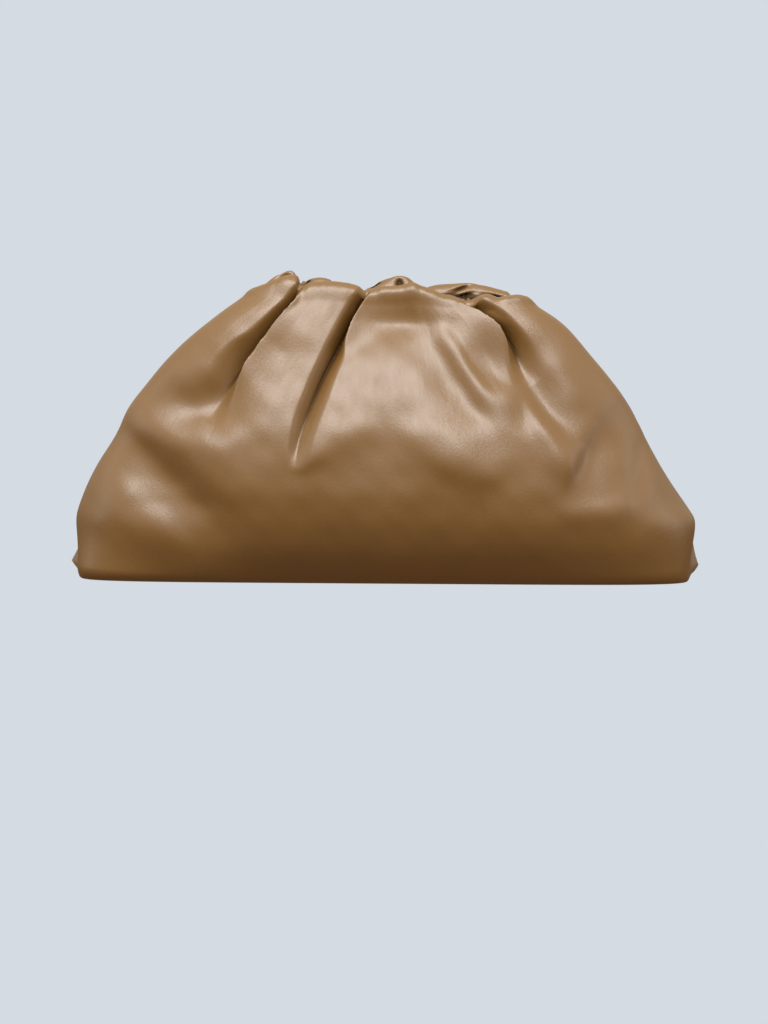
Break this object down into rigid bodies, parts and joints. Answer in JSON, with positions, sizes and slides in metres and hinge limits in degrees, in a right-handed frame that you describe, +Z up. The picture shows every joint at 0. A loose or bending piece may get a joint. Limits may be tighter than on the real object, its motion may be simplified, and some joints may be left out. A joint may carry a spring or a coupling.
{
  "type": "gathered leather clutch bag",
  "caption": "Soft puffy clutch bag of smooth leather, gathered into pleats at a closed top over a hidden frame, with a flat sole and pinched lower corners.",
  "frame": {"origin": "middle of the flat sole, on the surface that the bag stands on", "axes": "+X along the bag to its right end as its front is seen, +Y towards its back, +Z up"},
  "size_m": [0.3825, 0.1277, 0.1841],
  "materials": {
    "leather": "smooth satin calf leather",
    "frame_metal": "plain lacquered steel"
  },
  "bodies": {
    "root": {"leather_body": "leather", "closure_frame": "frame_metal"}
  },
  "joints": []
}
